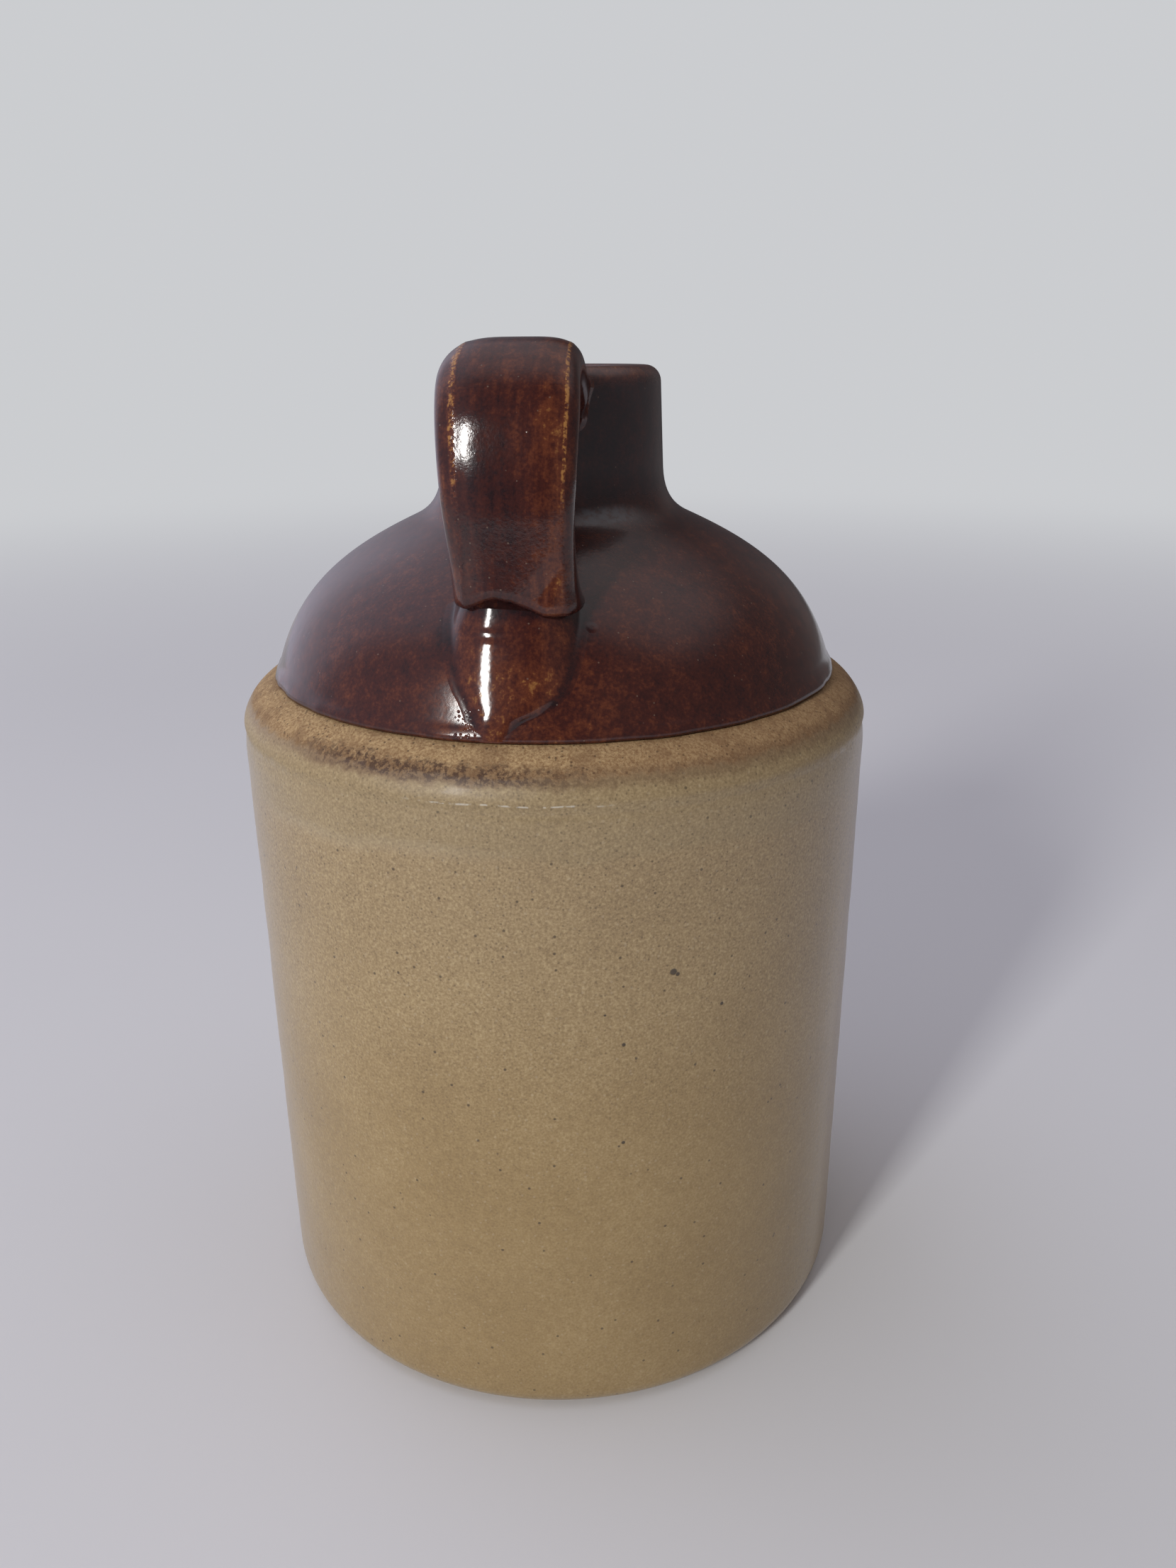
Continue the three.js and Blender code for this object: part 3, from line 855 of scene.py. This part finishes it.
def slip_finish(material, place, thickness, roughness, lumps, bloom_and_sheen=None):
    """Closes a slip finish from its thickness, gloss, any lumps in it and any blue tint on it, where its
    mask holds bloomed slip and painted sheen.
    """
    fine, medium = cloud(place, 0.4, 3.0, 0.6), cloud(place, 1.7, 3.0, 0.6)
    mottled = thickness + (fine - 0.5) * 0.6 + (medium - 0.5) * 0.6 + (cloud(place, 8.0) - 0.5) * 0.25
    colour = place.node("ShaderNodeValToRGB", {"Fac": mottled}, stops=SLIP_STOPS)
    if bloom_and_sheen is not None:
        colour = blend(bloom_and_sheen, colour, BLOOM_AND_SHEEN)
    dust = specks(place, 1.1, 0.12, 0.35)
    relief = (cloud(place, 1.8) - 0.5) + (fine - 0.5) * 0.3 + dust * 0.4 + lumps
    close_finish(material, {
        "Base Color": blend(dust * 0.4, colour, DUST),
        "Roughness": roughness + (medium - 0.5) * 0.08,
        "Normal": bump(relief, 0.22, 0.1),
    })


print(f"slip of {len(SLIP_STOPS)} tones, from amber to black")

# %% Slip on the dome, neck and tail
LEFT_POOL, LEFT_POOL_HEIGHT = -8.8, 105.2
RIGHT_POOL, RIGHT_POOL_HEIGHT = 8.1, 107.0

dome_slip, place = start_finish("dome_slip")
x, y, z = split(place)
inside, valley = remembered(place, "inside"), remembered(place, "valley")
front = rise(0 - y, 5.0, 30.0)
beside_tail = band(x - 1.0, 0.0, 7.0, 9.0) * (1 - rise(z, 99.0, 106.0)) * front
ragged = (cloud(place, 1.1, 3.0, 0.6) - 0.5) * 2.4
left_pool = band(x + ragged, LEFT_POOL, 0.0, 1.6) * band(z + ragged, LEFT_POOL_HEIGHT, 0.5, 3.2)
right_pool = band(x + ragged, RIGHT_POOL, 0.0, 1.5) * band(z + ragged, RIGHT_POOL_HEIGHT, 0.5, 2.8)
# Under the strap's lap the slip is darker. This is partly slip pooled in the crease and partly painted shade
# beneath the overhang.
lap_pool_and_shade = rise(z, 107.3, 109.0) * inside
on_neck = rise(z, 116.5, 120.0)
lip_edge = rise(z, 131.5, 134.0)
print("masks ready for", dome_slip.name)

# %% How thick it lies there
drawn_down = stretch(place, (1.0, 1.0, 0.15))
neck_streaks = (cloud(drawn_down, 1.3, 3.0) - 0.5) * (0.1 + 0.25 * on_neck)
tail_streaks = (cloud(drawn_down, 0.6, 3.0) - 0.5) * 0.4 * inside
# Besides pooled slip, this sum carries painted shade under the strap's lap.
pools_and_lap_shade = (left_pool + right_pool) * front * (1 - inside) * 0.2 + valley * 0.24 + lap_pool_and_shade * 0.35
thin = 0.10 * beside_tail + 0.09 * inside + 0.36 * lip_edge
burnt = (cloud(place, 0.9, 3.0, 0.65) - 0.5) * 0.6 * beside_tail
thickness = 0.48 + 0.2 * on_neck + pools_and_lap_shade - thin + neck_streaks + tail_streaks + burnt
print("thickness 0.48 on the dome, more on the neck and in pools, less at the lip and tail")

# %% Grit, bloomed slip, painted sheen and gloss
GRIT_SIDE, GRIT_HEIGHT = -5.1, 96.6
CHIP = (8.7, -31.4, 106.5)
BLOOM_HEIGHT = 116.8

gritty = band(x, GRIT_SIDE, 0.7, 0.7) * band(z, GRIT_HEIGHT, 1.0, 0.9) * front
chip = 1 - rise(away_from(place, CHIP), 0.25, 0.8)
lumps = gritty * specks(place, 0.45, 0.5, 0.8) * 5.0 + chip * 4.0
bearing = place.math("ARCTAN2", x, 0 - y)
beside_neck = between(bearing, 0.25, 0.42, 0.6, 0.95) * rise(cloud(place, 0.9, 3.0), 0.3, 0.6)
# Bloomed slip beside the neck's foot is real. The blue tint over the whole neck is painted sheen.
bloom_and_sheen = band(z + ragged * 0.4, BLOOM_HEIGHT, 0.4, 0.9) * beside_neck * 0.65 + on_neck * 0.2
dome_roughness = 0.17 + 0.13 * on_neck - 0.08 * lip_edge - 0.07 * inside
slip_finish(dome_slip, place, thickness, dome_roughness, lumps, bloom_and_sheen)
for piece in (shoulder_and_neck, tail):
    piece.data.materials.append(dome_slip)

# %% Ridges and streaks of the strap
LEFT_RIDGE, RIGHT_RIDGE = (ridge for ridge, _ in RIDGES)

strap_slip, place = start_finish("strap_slip")
across, along = remembered(place, "across"), remembered(place, "along")
on_face = rise(remembered(place, "outer"), 0.0, 0.4)
streaks = (cloud(stretch(place, (1.0, 0.15, 0.1)), 0.7, 3.0) - 0.5) * 0.45
ridge_lines = (band(across, LEFT_RIDGE, 0.02, 0.05) + band(across, RIGHT_RIDGE, 0.012, 0.035)) * on_face
ridge_grain = rise(cloud(place, 0.5, 2.0, 0.7), 0.40, 0.62)
ridge_fade = (1 - rise(along, 0.62, 0.9)) * (0.25 + 0.75 * ridge_grain)
print(f"ridges at {LEFT_RIDGE} and {RIGHT_RIDGE} of the half width")

# %% Slip on the strap
STRAP_ROUGHNESS = 0.13

amber_patch = band(across, 0.62, 0.12, 0.25) * 0.14 + band(across, -0.85, 0.06, 0.1) * 0.06
strap_pool = band(across, -0.25, 0.12, 0.35) * band(along, 0.72, 0.08, 0.14) * 0.09
strap_thin = 0.48 * ridge_lines * ridge_fade + amber_patch * on_face
strap_thickness = 0.50 + strap_pool - strap_thin + streaks
strap_grit = (cloud(place, 0.36, 2.0, 0.6) - 0.5) * 0.5
strap_lumps = ridge_lines * ridge_grain * 0.8 + strap_grit
slip_finish(strap_slip, place, strap_thickness, STRAP_ROUGHNESS, strap_lumps)
strap.data.materials.append(strap_slip)

# %% [markdown]
# ## Floor and light
# The jug stands on a round sheet of pale paper. A ring of the same paper curves up all round, for the camera
# alone, so every view has a plain background and the light of the room still comes in past it.
# A tall window at the left front gives the narrow glints. The slip mirrors the room, which is why the world
# isn't one even tone: the wall at the left is bright, the ceiling softer, and the front and right are dim.

# %% Lay the paper
PAPER_REACH, RING_REACH, RING_TOP, RING_ROUND = 0.9, 1.5, 1.3, 0.5
PAPER_STEPS = 96


def paper_round(name, points, round_at=None):
    """Turns a sheet of paper round the jug's axis as part of the stage."""
    mesh = bmesh.new()
    made = outline(mesh, points)
    if round_at is not None:
        round_corner(mesh, made[round_at], RING_ROUND, 16)
    turn(mesh, PAPER_STEPS)
    sheet = to_object(mesh, name)
    return sheet


floor = paper_round("floor", [(0.0, 0.0), (PAPER_REACH, 0.0)])
backdrop = paper_round("backdrop", [(PAPER_REACH, 0.0), (RING_REACH, 0.0), (RING_REACH, RING_TOP)], 1)
for way_seen in ("visible_diffuse", "visible_glossy", "visible_shadow"):
    setattr(backdrop, way_seen, False)
print(f"paper {2 * PAPER_REACH} m across, ring up to {RING_TOP} m")

# %% Pale paper that stays pale far off
PAPER_NEAR, PAPER_FAR = 250.0, 1100.0
PAPER_DARK, PAPER_PALE, PAPER_TONE = (0.735, 0.75, 0.775), (0.775, 0.79, 0.815), (0.60, 0.61, 0.63)

paper, place = start_finish("pale_paper")
x, y, _ = split(place)
seen = place.node("ShaderNodeLightPath", {}, "Is Camera Ray")
for ray in ("Is Glossy Ray", "Is Transmission Ray"):
    seen = place.math("MAXIMUM", seen, place.node("ShaderNodeLightPath", {}, ray))
far_off = rise(place.math("SQRT", x * x + y * y), PAPER_NEAR, PAPER_FAR) * seen
paper_colour = blend(cloud(place, 220.0), PAPER_DARK, PAPER_PALE)
lit = place.node("ShaderNodeBsdfPrincipled", {"Base Color": paper_colour, "Roughness": 0.8}, "BSDF")
flat = place.node("ShaderNodeEmission", {"Color": PAPER_TONE, "Strength": 1.0}, "Emission")
sheet = place.node("ShaderNodeMixShader", {"Fac": far_off, "Shader": lit, "Shader_001": flat})
place.node("ShaderNodeOutputMaterial", {"Surface": sheet})
for stage_piece in (floor, backdrop):
    stage_piece.data.materials.append(paper)
print(f"paper even in tone from {PAPER_FAR:.0f} mm out")

# %% Hang the window
JUG_MIDDLE = Vector((0.0, 0.0, 0.07))
WINDOW_WAY, WINDOW_DISTANCE = Vector((-0.425, -0.80, 0.43)), 1.5
WINDOW_WIDTH, WINDOW_HEIGHT = 0.18, 0.43
WINDOW_POWER, WINDOW_COLOUR = 11.8, (1.0, 0.98, 0.95)

lamp = bpy.data.lights.new("window", "AREA")
lamp.shape, lamp.size, lamp.size_y = "RECTANGLE", WINDOW_WIDTH, WINDOW_HEIGHT
lamp.energy, lamp.color = WINDOW_POWER, WINDOW_COLOUR
window = bpy.data.objects.new("window", lamp)
towards = WINDOW_WAY.normalized()
window.location = JUG_MIDDLE + towards * WINDOW_DISTANCE
window.rotation_euler = towards.to_track_quat("Z", "Y").to_euler()
window.visible_camera = False
bpy.context.collection.objects.link(window)
print(f"window of {lamp.energy:.1f} W, {WINDOW_DISTANCE} m away")

# %% Light of the room
DIM_FRONT, DIM_RIGHT = (0.07, 0.065, 0.07), (0.18, 0.16, 0.16)
CEILING, BELOW, LEFT_WALL = (0.72, 0.68, 0.70), (0.46, 0.45, 0.46), (0.86, 0.85, 1.02)

world = bpy.data.worlds.new("room")
bpy.context.scene.world = world
world.use_nodes = True
world.node_tree.nodes.clear()
room = Wire(world.node_tree)
right, back, above = split(room.node("ShaderNodeTexCoord", {}, "Generated"))
ceiling = rise(above, 0.5, 0.85) * rise(back, -0.5, 0.0) * (1 - rise(back, 0.3, 0.6) * 0.4)
left_open = 0.4 + 0.6 * rise(back + above * 0.45, 0.05, 0.45)
left_wall = rise(0 - right, 0.0, 0.6) * left_open * (1 - rise(back, 0.68, 0.95) * 0.5)
tone = blend(rise(right, 0.1, 0.5), DIM_FRONT, DIM_RIGHT)
tone = blend(ceiling, tone, CEILING)
tone = blend(1 - rise(above, -0.3, -0.1), tone, BELOW)
tone = blend(left_wall, tone, LEFT_WALL)
shine = room.node("ShaderNodeBackground", {"Color": tone, "Strength": 1.0})
room.node("ShaderNodeOutputWorld", {"Surface": shine})
print(f"room of {len(world.node_tree.nodes)} nodes")
